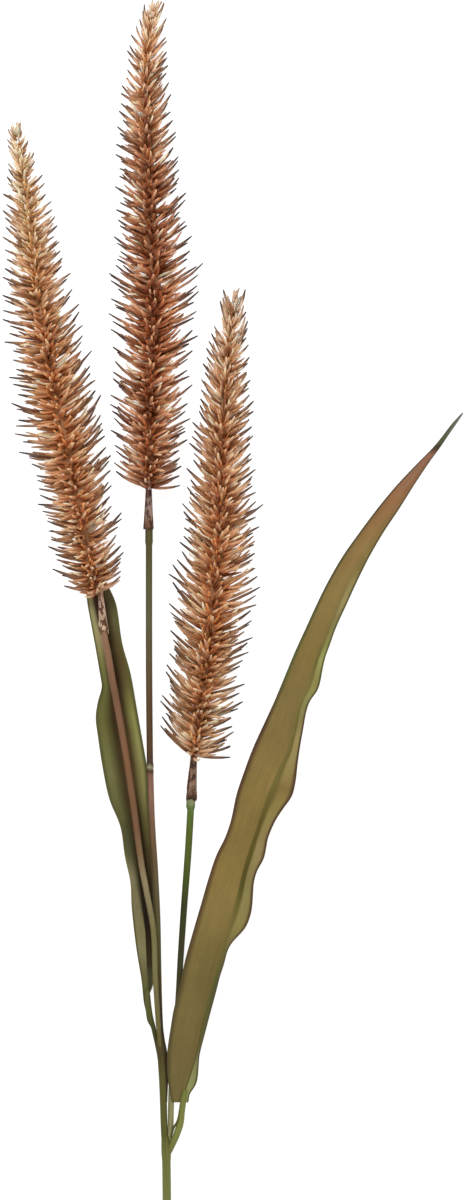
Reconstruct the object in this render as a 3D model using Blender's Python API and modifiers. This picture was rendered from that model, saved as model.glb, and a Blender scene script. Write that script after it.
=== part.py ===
"""A spray of dried fountain grass, laid down on a table.

Three bristly spikes, each in a short sleeve on its own thin stem, and two long folded leaves, all
on one stem that forks twice. The script works in metres with +Z up. The table is z = 0, the cut
end points to -Y, the spikes point to +Y, and the origin is under the middle of the spray.
Routes and edges are written in millimetres and are read through smooth curves.
"""

import math
import random

import bmesh
import bpy
import numpy as np
from mathutils import Vector
from mathutils.geometry import interpolate_bezier

MM = 0.001
GAP = 0.3 * MM  # left between two pieces that meet
SHARP_ABOVE = math.radians(40)  # edges that turn further than this stay sharp
SAME_POINT = 0.01 * MM

# Spikes: a turned core under a coat of spines that lean towards the tip.
SPIKE_RINGS = 40
SPIKE_SIDES = 9
CORE_SHARE = 0.36  # core radius as a share of how far the bristles reach there
CORE_FOOT = 2.0 * MM  # core radius where it meets the sleeve
CORE_FOOT_SHARE = 0.06  # share of the length over which the core swells from its foot
SPINE_JITTER = 0.10
AXIS_STEPS = 8  # points read from each stretch of an axis
AXIS_LOOK = 2.0 * MM  # how far either side of a point its direction is read
LEAN_ALONG = ((0.0, 80.0), (0.08, 62.0), (0.40, 54.0), (0.85, 42.0), (1.0, 28.0))  # degrees off the axis
SPIKES = {  # axis from foot to tip; share of the length and reach of the bristles; what they rest on
    "left_spike": {
        "axis": ((-68.9, 17.5, 13.5), (-78.3, 65, 16), (-88.6, 115, 17), (-97.2, 165, 16),
                 (-103.4, 215, 12.5), (-108.8, 249, 9.5)),
        "reach": ((0.0, 15.0), (0.14, 18.0), (0.32, 21.0), (0.43, 21.0), (0.54, 18.5), (0.65, 14.0),
                  (0.85, 9.0), (0.95, 5.5), (1.0, 3.2)),
        "leaf_below": 0.16,
    },
    "middle_spike": {
        "axis": ((-42.7, 70, 13.5), (-41.8, 115, 16), (-40.0, 165, 17.5), (-42.2, 215, 15),
                 (-44.3, 265, 11.5), (-43.3, 290, 9.5), (-39.8, 312.2, 8)),
        "reach": ((0.0, 16.0), (0.16, 18.0), (0.30, 19.5), (0.38, 21.5), (0.47, 18.5), (0.55, 15.5),
                  (0.75, 11.5), (0.88, 8.6), (0.95, 5.5), (1.0, 3.2)),
        "leaf_below": 0.0,
    },
    "right_spike": {
        "axis": ((-20.3, -64, 13), (-13.2, -10, 15.5), (-8.0, 40, 16.7), (-5.8, 90, 15.5),
                 (-2.6, 140, 11.5), (-0.6, 166, 8.5)),
        "reach": ((0.0, 16.0), (0.08, 18.5), (0.20, 18.5), (0.33, 21.0), (0.43, 20.5), (0.55, 17.0),
                  (0.74, 12.5), (0.86, 8.8), (0.95, 5.0), (1.0, 3.0)),
        "leaf_below": 0.0,
    },
}
ON_LEAF = 1.8 * MM  # the lowest that bristles over a leaf's tip reach

# Sleeves: the tapered foot of a spike's core, slipped over the top of its stem.
SLEEVE_RIM = 1.2 * MM
SLEEVE_SIDES = 12
SLEEVES = {  # radius at the spike, radius at the stem, lower end
    "left_spike_sleeve": (1.4, 2.0, (-67.0, -1.0, 12.6)),
    "middle_spike_sleeve": (1.4, 2.5, (-42.8, 50.0, 13.0)),
    "right_spike_sleeve": (1.6, 2.8, (-21.5, -85.0, 12.3)),
}

# Stems: each row is a point and the radius there.
STEM_POINTS = 3  # points read from each stretch of a route
STEMS = {
    "main_stem": ((-33.3, -315, 1.9, 1.9), (-33.5, -285, 2.1, 1.9), (-33.7, -267, 2.8, 1.95),
                  (-33.8, -261.5, 3.0, 2.4)),
    "upper_stem": ((-34.8, -261.1, 3.1, 1.15), (-34.9, -253, 3.2, 1.6), (-35.7, -228, 3.5, 1.65),
                   (-36.7, -216, 3.7, 1.7), (-37.0, -211.5, 3.8, 2.05)),
    "left_spike_stem": ((-37.0, -211.1, 4.95, 0.8), (-37.9, -198, 5.6, 1.2), (-39.4, -174, 5.8, 1.3),
                        (-40.3, -151, 5.8, 1.35), (-43.6, -132, 5.9, 1.45), (-46.2, -118, 6.2, 1.6),
                        (-50.5, -86.5, 7.4, 1.7), (-54.2, -62, 8.7, 1.7), (-59, -35, 10.3, 1.7),
                        (-64.2, -11, 11.9, 1.7), (-66.6, -1.4, 12.55, 1.7)),
    "middle_spike_stem": ((-36.2, -211.1, 3.0, 0.85), (-36.8, -198, 2.6, 1.2), (-37.7, -172, 2.7, 1.3),
                          (-38.2, -145, 3.2, 1.35), (-39.4, -121, 4.3, 1.4), (-41.0, -96, 5.7, 1.4),
                          (-41.8, -58, 7.9, 1.4), (-42.2, -20, 10.0, 1.45), (-42.3, 42, 12.9, 1.45),
                          (-42.3, 42.5, 12.9, 1.9), (-42.5, 49.6, 13.0, 1.9)),
    "right_spike_stem": ((-32.65, -261.1, 2.0, 0.85), (-31.9, -250, 1.8, 1.3), (-31.4, -231, 1.6, 1.35),
                         (-29.9, -208, 1.5, 1.4), (-28.1, -186, 1.6, 1.45), (-27.0, -165, 2.9, 1.45),
                         (-25.1, -137, 5.9, 1.45), (-23.4, -112, 8.8, 1.5), (-21.9, -89, 11.7, 1.5),
                         (-21.9, -88.6, 11.8, 2.0), (-21.6, -85.4, 12.2, 2.0)),
}

# Leaves: a thin sheet between two margins, folded along its midrib, that narrows to a stalk.
LEAF_THICKNESS = 0.7 * MM
LEAF_BELLY = 0.5 * MM  # how far each half sags between midrib and margin
BELLY_SHARE = 0.1  # the same sag as a share of the half's width, where the leaf is narrow
LEAF_COLUMNS = 4
EDGE_STEPS = 6  # points read from each stretch of a margin
LEAVES = {
    "left_leaf": {
        "rows": 26,
        "left": ((-38.5, -211.1, 3.2), (-39.9, -205, 3.0), (-43.6, -193, 3.0), (-46, -172, 3.6),
                 (-48.4, -158, 4.2), (-50.4, -138, 4.8), (-52, -121, 5.2), (-56.5, -98, 5.6),
                 (-62.3, -82, 5.8), (-66.5, -60, 5.8), (-68.6, -44, 5.6), (-65.2, -27, 5.0),
                 (-69.7, -2, 3.4), (-72.2, 14, 1.6), (-73.5, 30, 0.9), (-75.2, 42, 0.7)),
        "midrib": ((-38.1, -211.1, 2.9), (-39.0, -205, 2.6), (-42.2, -193, 1.6), (-43.4, -176, 1.2),
                   (-44.6, -145, 0.8), (-46.0, -120, 0.6), (-50.3, -86, 0.5), (-54.0, -62, 0.5),
                   (-59, -35, 0.5), (-65, -2, 0.5), (-68.2, 14, 0.5), (-71.5, 30, 0.5), (-74.8, 43, 0.5)),
        "right": ((-37.7, -211.1, 3.2), (-38.3, -205, 3.0), (-40.9, -193, 2.4), (-42.1, -172, 2.4),
                  (-42.5, -145, 2.8), (-42.2, -127, 3.6), (-42.9, -108, 4.6), (-43.6, -88, 5.2),
                  (-45.0, -64, 5.6), (-49.2, -38, 5.6), (-53.2, -17, 5.0), (-57.6, 0, 3.4),
                  (-61.6, 16, 1.8), (-68.0, 30, 0.9), (-74.2, 42, 0.7)),
    },
    "right_leaf": {
        "rows": 38,
        "left": ((-33.1, -261.1, 4.4), (-29.6, -254, 4.2), (-26.2, -245, 4.1), (-25.6, -238, 4.2),
                 (-31.8, -233.5, 4.6), (-33.4, -220, 4.7), (-32.4, -203, 4.7), (-28.4, -185, 4.8),
                 (-20.0, -149, 4.6), (-11.0, -119, 3.8), (-1.5, -95, 3.2), (7.0, -65, 2.8),
                 (20.5, -35, 2.6), (36.0, 1, 2.4), (54.5, 37, 2.2), (72.0, 61, 1.8),
                 (88.0, 79, 1.6), (99.5, 91, 1.8), (115.0, 109, 2.6)),
        "midrib": ((-32.6, -261.1, 4.0), (-28.9, -254, 3.6), (-25.3, -245, 3.2), (-23.6, -235, 3.0),
                   (-17.0, -205, 2.6), (-10.0, -177, 2.0), (-4.0, -157, 1.5), (6.0, -119, 0.8),
                   (12.0, -100, 0.6), (23.0, -70, 0.5), (33.0, -49, 0.5), (36.5, -35, 0.5),
                   (49.0, 1, 0.5), (64.5, 37, 0.6), (79.0, 61, 0.8), (92.0, 79, 1.1),
                   (101.0, 91, 1.6), (115.2, 109, 2.5)),
        "right": ((-32.1, -261.1, 4.4), (-28.2, -254, 4.3), (-24.3, -245, 4.4), (-22.0, -235, 5.0),
                  (-17.6, -221, 7.0), (-15.0, -203, 8.5), (-10.0, -185, 9.8), (-3.5, -161, 10.6),
                  (5.0, -150, 11.0), (9.2, -138, 11.2), (10.2, -124, 11.4), (15.6, -113, 11.4),
                  (18.5, -101, 11.2), (29.0, -84, 10.8), (31.6, -70, 10.4), (35.0, -47, 9.4),
                  (38.5, -35, 8.4), (44.5, -22, 7.4), (51.5, 1, 5.8), (68.0, 37, 4.0),
                  (83.0, 61, 2.8), (94.5, 79, 2.3), (103.0, 91, 2.2), (115.5, 109, 2.7)),
    },
}

MATERIALS = {  # linear base colour, roughness
    "tan_bristles": ((0.36, 0.19, 0.10), 0.60),
    "brown_bristles": ((0.24, 0.10, 0.05), 0.60),
    "mauve_sleeve": ((0.17, 0.09, 0.07), 0.65),
    "green_stem": ((0.17, 0.18, 0.05), 0.50),
    "brown_stem": ((0.20, 0.09, 0.05), 0.50),
    "olive_leaf": ((0.16, 0.14, 0.05), 0.75),
}


def clear_scene():
    for obj in list(bpy.data.objects):
        bpy.data.objects.remove(obj, do_unlink=True)


def make_material(name):
    colour, roughness = MATERIALS[name]
    material = bpy.data.materials.new(name)
    material.use_nodes = True
    shader = material.node_tree.nodes["Principled BSDF"]
    shader.inputs["Base Color"].default_value = (*colour, 1.0)
    shader.inputs["Roughness"].default_value = roughness
    shader.inputs["Metallic"].default_value = 0.0
    return material


def smooth_curve(points, steps):
    """Points in metres on a smooth curve through points in millimetres, steps to each stretch."""
    knots = [Vector(point) * MM for point in points]
    curve = [knots[0]]
    for i in range(len(knots) - 1):
        here, there = knots[i], knots[i + 1]
        reach = (there - here).length / 3.0
        leaving = there - knots[max(i - 1, 0)]
        arriving = knots[min(i + 2, len(knots) - 1)] - here
        handle_1 = here + leaving.normalized() * reach
        handle_2 = there - arriving.normalized() * reach
        curve += interpolate_bezier(here, handle_1, handle_2, there, steps + 1)[1:]
    return curve


def along_table(table, share):
    """The value at a share of the length, from rows of (share, value)."""
    shares, values = zip(*table)
    return float(np.interp(share, shares, values))


class Axis:
    """A smooth curve that is read by the distance from its first point."""

    def __init__(self, points):
        self.curve = np.array(smooth_curve(points, AXIS_STEPS))
        steps = np.linalg.norm(np.diff(self.curve, axis=0), axis=1)
        self.distances = np.concatenate(([0.0], np.cumsum(steps)))
        self.length = self.distances[-1]

    def point(self, distance):
        return Vector([np.interp(distance, self.distances, part) for part in self.curve.T])

    def frame(self, distance):
        """(point, upwards, sideways) at a distance, going straight on past either end."""
        inside = min(max(distance, 0.0), self.length)
        ahead = self.point(min(inside + AXIS_LOOK, self.length))
        behind = self.point(max(inside - AXIS_LOOK, 0.0))
        forwards = (ahead - behind).normalized()
        sideways = forwards.cross(Vector((0, 0, 1))).normalized()
        upwards = sideways.cross(forwards)
        return self.point(inside) + forwards * (distance - inside), upwards, sideways


def add_object(name, data, collection, material):
    obj = bpy.data.objects.new(name, data)
    data.materials.append(material)
    collection.objects.link(obj)
    return obj


def mesh_from(bm, name):
    """The finished mesh, shaded smooth across all but its sharp edges."""
    mesh = bpy.data.meshes.new(name)
    bm.to_mesh(mesh)
    bm.free()
    mesh.shade_smooth()
    mesh.set_sharp_from_angle(angle=SHARP_ABOVE)
    return mesh


def make_stem(name, rows, collection, material):
    """A tapering tube through the rows' points, with flat ends."""
    curve = bpy.data.curves.new(name, "CURVE")
    curve.dimensions = "3D"
    curve.bevel_depth = MM
    curve.bevel_resolution = 2
    curve.use_fill_caps = True
    curve.twist_mode = "Z_UP"
    points = smooth_curve([row[:3] for row in rows], STEM_POINTS)
    radii = np.interp(np.arange(len(points)) / STEM_POINTS, np.arange(len(rows)), [row[3] for row in rows])
    spline = curve.splines.new("POLY")
    spline.points.add(len(points) - 1)
    for spline_point, point, radius in zip(spline.points, points, radii):
        spline_point.co = (*point, 1.0)
        spline_point.radius = radius
    return add_object(name, curve, collection, material)


def make_sleeve(name, top_radius, foot_radius, foot, axis, collection, material):
    """A turned taper from the spike's foot down to a rim at the stem."""
    top = axis.point(0.0)
    foot = Vector(foot) * MM
    up = top - foot
    length = up.length - GAP
    profile = [
        (0.0, length),
        (top_radius * MM, length),
        ((0.45 * top_radius + 0.55 * foot_radius) * MM, 0.5 * length),
        (foot_radius * MM, SLEEVE_RIM),
        (0.9 * foot_radius * MM, 0.0),
        (0.0, 0.0),
    ]
    mesh = bpy.data.meshes.new(name)
    points = [(radius, 0.0, height) for radius, height in profile]
    mesh.from_pydata(points, [(i, i + 1) for i in range(len(points) - 1)], [])
    obj = add_object(name, mesh, collection, material)
    obj.location = foot
    obj.rotation_mode = "QUATERNION"
    obj.rotation_quaternion = up.to_track_quat("Z", "X")
    screw = obj.modifiers.new("turn", "SCREW")
    screw.axis = "Z"
    screw.steps = SLEEVE_SIDES
    screw.render_steps = SLEEVE_SIDES
    screw.use_merge_vertices = True
    screw.merge_threshold = SAME_POINT
    screw.use_smooth_shade = True
    return obj


def core_radius(share, reach):
    """The core's radius, which closes to a point at the tip and narrows into the sleeve."""
    if share >= 1.0:
        return 0.0
    body = CORE_SHARE * along_table(reach, share) * MM
    swelling = min(share / CORE_FOOT_SHARE, 1.0)
    return CORE_FOOT + (body - CORE_FOOT) * swelling


def place_on_core(vert):
    """Orders spines from foot to tip and then round the core, so that each run deals them alike."""
    angle = math.degrees(math.atan2(vert.co.y, vert.co.x))
    return round(vert.co.z / SAME_POINT), round(angle) % 360


def make_spike(name, spike, axis, collection, material):
    """A turned core with every facet drawn out into a spine, bent along the axis."""
    reach = spike["reach"]
    dice = random.Random(name)
    bm = bmesh.new()
    shares = [ring / SPIKE_RINGS for ring in range(SPIKE_RINGS + 1)]
    outline = [bm.verts.new((0.0, 0.0, 0.0))]
    outline += [bm.verts.new((core_radius(share, reach), 0.0, share * axis.length)) for share in shares]
    edges = [bm.edges.new(pair) for pair in zip(outline, outline[1:])]
    bmesh.ops.spin(bm, geom=outline + edges, cent=(0, 0, 0), axis=(0, 0, 1), angle=math.tau,
                   steps=SPIKE_SIDES, use_merge=True)
    bmesh.ops.remove_doubles(bm, verts=bm.verts, dist=SAME_POINT)
    ring_gap = axis.length / SPIKE_RINGS
    for vert in bm.verts:
        if round(vert.co.z / ring_gap) % 2:
            x, y, half_step = vert.co.x, vert.co.y, math.pi / SPIKE_SIDES
            vert.co.x = x * math.cos(half_step) - y * math.sin(half_step)
            vert.co.y = x * math.sin(half_step) + y * math.cos(half_step)
    bmesh.ops.triangulate(bm, faces=bm.faces, quad_method="SHORT_EDGE")
    bmesh.ops.recalc_face_normals(bm, faces=bm.faces)
    sides = [face for face in bm.faces if face.calc_center_median().z > SAME_POINT]
    spines = bmesh.ops.poke(bm, faces=sides)["verts"]
    for vert in sorted(spines, key=place_on_core):
        root = vert.co.z
        share = min(root / axis.length, 1.0)
        angle = math.atan2(vert.co.y, vert.co.x) + dice.uniform(-0.5, 0.5) * SPINE_JITTER
        tip_radius = along_table(reach, share) * MM * (1.0 + dice.uniform(-1.0, 1.0) * SPINE_JITTER)
        out = tip_radius - Vector(vert.co.xy).length
        lean = math.radians(along_table(LEAN_ALONG, share))
        vert.co = (tip_radius * math.cos(angle), tip_radius * math.sin(angle), root + out / math.tan(lean))
    for vert in bm.verts:
        over_leaf = vert.co.z < spike["leaf_below"] * axis.length
        point, upwards, sideways = axis.frame(vert.co.z)
        vert.co = point + upwards * vert.co.x + sideways * vert.co.y
        vert.co.z = max(vert.co.z, ON_LEAF if over_leaf else 0.0)
    return add_object(name, mesh_from(bm, name), collection, material)


def edge_at(edge, y):
    """The point of a leaf's edge or midrib at a place along the leaf."""
    curve = np.array(smooth_curve(edge, EDGE_STEPS))
    x, z = (np.interp(y, curve[:, 1], curve[:, i]) for i in (0, 2))
    return Vector((x, y, z))


def make_leaf(name, leaf, collection, material):
    """A folded sheet of rows across the leaf, given its thickness by Solidify."""
    first, last = (leaf["midrib"][i][1] * MM for i in (0, -1))
    bm = bmesh.new()
    bmesh.ops.create_grid(bm, x_segments=LEAF_COLUMNS, y_segments=leaf["rows"], size=1.0)
    for vert in bm.verts:
        across = vert.co.x
        y = first + (last - first) * (vert.co.y + 1.0) / 2.0
        margin = edge_at(leaf["left" if across < 0 else "right"], y)
        vert.co = edge_at(leaf["midrib"], y).lerp(margin, abs(across))
        belly = 4.0 * abs(across) * (1.0 - abs(across))
        vert.co.z -= belly * min(LEAF_BELLY, BELLY_SHARE * (vert.co - margin).length)
    obj = add_object(name, mesh_from(bm, name), collection, material)
    sheet = obj.modifiers.new("thickness", "SOLIDIFY")
    sheet.thickness = LEAF_THICKNESS
    sheet.offset = 0.0
    return obj


def main():
    clear_scene()
    spray = bpy.data.collections.new("fountain_grass")
    bpy.context.scene.collection.children.link(spray)
    made = {name: make_material(name) for name in MATERIALS}
    for name, rows in STEMS.items():
        brown = name in ("left_spike_stem", "middle_spike_stem")
        make_stem(name, rows, spray, made["brown_stem" if brown else "green_stem"])
    for name, spike in SPIKES.items():
        axis = Axis(spike["axis"])
        bristles = made["brown_bristles" if name == "middle_spike" else "tan_bristles"]
        make_spike(name, spike, axis, spray, bristles)
        top_radius, foot_radius, foot = SLEEVES[name + "_sleeve"]
        make_sleeve(name + "_sleeve", top_radius, foot_radius, foot, axis, spray, made["mauve_sleeve"])
    for name, leaf in LEAVES.items():
        make_leaf(name, leaf, spray, made["olive_leaf"])


main()
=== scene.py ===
# %% [markdown]
# # A spray of dried fountain grass
#
# Three bristly heads, two long folded leaves and the stems that carry them, lying on a pale table.
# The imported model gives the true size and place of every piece. This script dresses each one: it
# models the fine forms, such as some thousands of bristles, and gives each a finish of its own.

# %% Load the frame
import math
import random

import bpy
import numpy as np
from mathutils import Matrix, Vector
from mathutils.geometry import interpolate_bezier


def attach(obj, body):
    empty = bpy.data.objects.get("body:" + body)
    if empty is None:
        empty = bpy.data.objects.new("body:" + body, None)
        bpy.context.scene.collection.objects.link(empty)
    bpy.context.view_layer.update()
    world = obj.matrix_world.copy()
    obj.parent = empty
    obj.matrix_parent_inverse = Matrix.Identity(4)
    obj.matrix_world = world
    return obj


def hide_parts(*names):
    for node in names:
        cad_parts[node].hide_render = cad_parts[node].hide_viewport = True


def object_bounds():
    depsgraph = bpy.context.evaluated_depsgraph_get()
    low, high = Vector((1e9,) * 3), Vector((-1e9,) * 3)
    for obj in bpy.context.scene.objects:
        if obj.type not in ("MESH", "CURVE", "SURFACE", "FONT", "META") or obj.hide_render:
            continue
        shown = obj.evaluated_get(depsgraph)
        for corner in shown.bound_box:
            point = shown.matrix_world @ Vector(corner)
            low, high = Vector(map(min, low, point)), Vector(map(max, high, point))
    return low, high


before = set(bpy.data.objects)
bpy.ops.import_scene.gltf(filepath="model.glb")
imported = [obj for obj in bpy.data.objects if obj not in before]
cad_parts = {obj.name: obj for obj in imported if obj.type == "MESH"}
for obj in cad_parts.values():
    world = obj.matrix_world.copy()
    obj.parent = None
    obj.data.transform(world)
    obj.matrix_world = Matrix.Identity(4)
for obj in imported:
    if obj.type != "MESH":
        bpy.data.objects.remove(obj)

MM = 0.001
cad_low, cad_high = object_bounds()
cad_size = [round(side / MM) for side in cad_high - cad_low]
print("frame:", len(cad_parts), "nodes,", cad_size, "mm")

# %% [markdown]
# ## The camera
#
# The spray is seen from straight above, as it lies. A short lens close by would make the tall heads
# look larger than the flat leaves, so a long lens stands well back. The view is 600 mm tall at the
# height of the heads' middles: it starts at the highest bristle and leaves the last 30 mm of the
# stem's cut end outside.

# %% Look straight down through a long lens
VIEW_HEIGHT = 0.600
LENS = 200.0
SENSOR = 36.0
NUDGE_LEFT = 0.25 * MM
FOCUS_HEIGHT = 12 * MM
bpy.ops.object.camera_add(rotation=(0.0, 0.0, 0.0))
camera = bpy.context.object
camera.name = "camera"
camera.data.lens = LENS
camera.data.sensor_width = SENSOR
camera.data.clip_end = 20.0
distance = VIEW_HEIGHT * LENS / SENSOR
camera.location = (-NUDGE_LEFT, cad_high.y - VIEW_HEIGHT / 2, FOCUS_HEIGHT + distance)
bpy.context.scene.camera = camera
bpy.context.scene.view_settings.view_transform = "Standard"
print("camera:", round(distance, 2), "m above the spray")

# %% [markdown]
# ## The table and the light
#
# The spray lies on a wide pale table: one plane, just under the lowest points. The plane glows, so
# that the shadows on it stay faint. An even white sky fills every gap with light. It could be the
# only light, but round forms would look flat. So a soft lamp high beyond the heads, a little to the
# left, gives the stems their bright left sides, and a weak, wider one lights the right.

# %% Lay the table
TABLE_SIDE = 6.0
TABLE_DROP = 0.2 * MM
bpy.ops.object.select_all(action="DESELECT")
bpy.ops.mesh.primitive_plane_add(size=TABLE_SIDE, location=(0.0, 0.0, -TABLE_DROP))
table = bpy.context.object
table.name = "table"
pale = bpy.data.materials.new("pale_table")
pale.use_nodes = True
table.data.materials.append(pale)
surface = pale.node_tree.nodes["Principled BSDF"]
surface.inputs["Base Color"].default_value = (0.30, 0.30, 0.30, 1.0)
surface.inputs["Roughness"].default_value = 0.9
surface.inputs["Emission Color"].default_value = (1.0, 1.0, 1.0, 1.0)
surface.inputs["Emission Strength"].default_value = 0.88
print("table:", TABLE_SIDE, "m square")


# %% Hang the lamps
def hang_lamp(name, place, size, watts):
    """A square soft lamp, in metres and watts, that looks at the middle of the spray."""
    bpy.ops.object.light_add(type="AREA", location=place)
    lamp = bpy.context.object
    lamp.name = name
    lamp.data.size = size
    lamp.data.energy = watts
    lamp.rotation_euler = (-Vector(place)).to_track_quat("-Z", "Y").to_euler()


hang_lamp("key_lamp", (-0.35, 0.85, 1.6), 0.6, 21.0)
hang_lamp("fill_lamp", (1.2, -0.5, 1.4), 1.2, 7.0)
world = bpy.data.worlds.new("white_sky")
bpy.context.scene.world = world
world.use_nodes = True
sky = world.node_tree.nodes["Background"]
sky.inputs["Color"].default_value = (1.0, 1.0, 1.0, 1.0)
sky.inputs["Strength"].default_value = 0.40
print("two lamps and a white sky")

# %% [markdown]
# ## Tools of the bench
#
# Every operator works on what is selected, and loading the frame leaves its nodes selected. So each
# step starts by selecting one object only. A finished piece gets its name, its place in its mesh,
# the body that carries it, and the node of the frame that it stands for.


# %% Select one object, and hand over a finished piece
def only(obj):
    """Selects one object and nothing else."""
    bpy.ops.object.select_all(action="DESELECT")
    obj.select_set(True)
    bpy.context.view_layer.objects.active = obj


def hand_over(obj, name, material, slot, *stands_for):
    """Names and finishes a piece, and ties it to the frame."""
    only(obj)
    bpy.ops.object.transform_apply(location=True, rotation=True, scale=True)
    obj.name = name
    obj.data.name = name
    obj.data.materials.clear()
    obj.data.materials.append(material)
    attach(obj, "root")
    if stands_for:
        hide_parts(*stands_for)
    print(f"{name}: {len(obj.data.polygons)} faces")


# %% [markdown]
# A stem's route, a leaf's edge and a head's axis are all smooth lines through a few points. They
# could be curve objects, but a leaf needs three of them at once, read at any place along it. So one
# function works the points out: each stretch is a Bezier curve whose handles follow the points on
# both sides. Colours are named in the screen's steps of 0 to 255, which a maker can read off a
# swatch, and a second function turns them into the amounts of light that the renderer counts in.


# %% Smooth lines through a few points
def smooth_line(points, steps):
    """A smooth line in metres through points in millimetres, in so many steps to each stretch."""
    knots = [Vector(point) * MM for point in points]
    line = [knots[0]]
    for i in range(len(knots) - 1):
        here, there = knots[i], knots[i + 1]
        reach = (there - here).length / 3.0
        leaving = (there - knots[max(i - 1, 0)]).normalized()
        arriving = (knots[min(i + 2, len(knots) - 1)] - here).normalized()
        handles = here + leaving * reach, there - arriving * reach
        line += interpolate_bezier(here, *handles, there, steps + 1)[1:]
    return line


def linear(red, green, blue):
    """A colour in screen steps, as amounts of red, green and blue light."""
    steps = [step / 255.0 for step in (red, green, blue)]
    return [c / 12.92 if c <= 0.04045 else ((c + 0.055) / 1.055) ** 2.4 for c in steps]


# %% [markdown]
# ## Finishes
#
# Every rod, sheath and blade shows the same two effects: thin streaks that run along it, and soft
# blotches of darker and lighter colour. Each finish could hold its own noise, but then a change has
# to be made in all of them. So each effect is a node group that is built once. A group gives out a
# shade around 1 that multiplies a colour, and a height for a bump.


# %% Build the two shared effects
def new_group(name, numbers):
    """A shader group with a Place input, number inputs, and Shade and Height outputs."""
    group = bpy.data.node_groups.new(name, "ShaderNodeTree")
    group.interface.new_socket("Place", in_out="INPUT", socket_type="NodeSocketVector")
    for label, value in numbers.items():
        socket = group.interface.new_socket(label, in_out="INPUT", socket_type="NodeSocketFloat")
        socket.default_value = value
    group.interface.new_socket("Shade", in_out="OUTPUT", socket_type="NodeSocketFloat")
    group.interface.new_socket("Height", in_out="OUTPUT", socket_type="NodeSocketFloat")
    return group, group.nodes.new("NodeGroupInput"), group.nodes.new("NodeGroupOutput")


def shade_from(group, noise, inside, outside):
    """Turns a noise of 0 to 1 into a shade of 1 - Depth / 2 to 1 + Depth / 2."""
    centred = group.nodes.new("ShaderNodeMath")
    centred.operation = "SUBTRACT"
    centred.inputs[1].default_value = 0.5
    scaled = group.nodes.new("ShaderNodeMath")
    scaled.operation = "MULTIPLY_ADD"
    scaled.inputs[2].default_value = 1.0
    group.links.new(noise, centred.inputs[0])
    group.links.new(centred.outputs[0], scaled.inputs[0])
    group.links.new(inside.outputs["Depth"], scaled.inputs[1])
    group.links.new(scaled.outputs[0], outside.inputs["Shade"])
    group.links.new(noise, outside.inputs["Height"])


streaks, inside, outside = new_group("streaks", {"Scale": 900.0, "Stretch": 0.05, "Depth": 0.5})
stretch = streaks.nodes.new("ShaderNodeCombineXYZ")
stretch.inputs["X"].default_value = 1.0
stretch.inputs["Z"].default_value = 1.0
streaks.links.new(inside.outputs["Stretch"], stretch.inputs["Y"])
stretched = streaks.nodes.new("ShaderNodeVectorMath")
stretched.operation = "MULTIPLY"
streaks.links.new(inside.outputs["Place"], stretched.inputs[0])
streaks.links.new(stretch.outputs[0], stretched.inputs[1])
noise = streaks.nodes.new("ShaderNodeTexNoise")
noise.inputs["Detail"].default_value = 3.0
streaks.links.new(stretched.outputs[0], noise.inputs["Vector"])
streaks.links.new(inside.outputs["Scale"], noise.inputs["Scale"])
shade_from(streaks, noise.outputs[0], inside, outside)

blotches, inside, outside = new_group("blotches", {"Scale": 80.0, "Depth": 0.3})
noise = blotches.nodes.new("ShaderNodeTexNoise")
noise.inputs["Detail"].default_value = 4.0
noise.inputs["Roughness"].default_value = 0.65
blotches.links.new(inside.outputs["Place"], noise.inputs["Vector"])
blotches.links.new(inside.outputs["Scale"], noise.inputs["Scale"])
shade_from(blotches, noise.outputs[0], inside, outside)
print("groups:", streaks.name, "and", blotches.name)

# %% [markdown]
# A finish is a tree of nodes, and writing each node and link in full hides what the finish does.
# The class below gives the nodes short names, so that a finish reads as a recipe: a place on the
# piece goes in, colours are mixed and shaded, and the result is fed to the shader.


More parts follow.
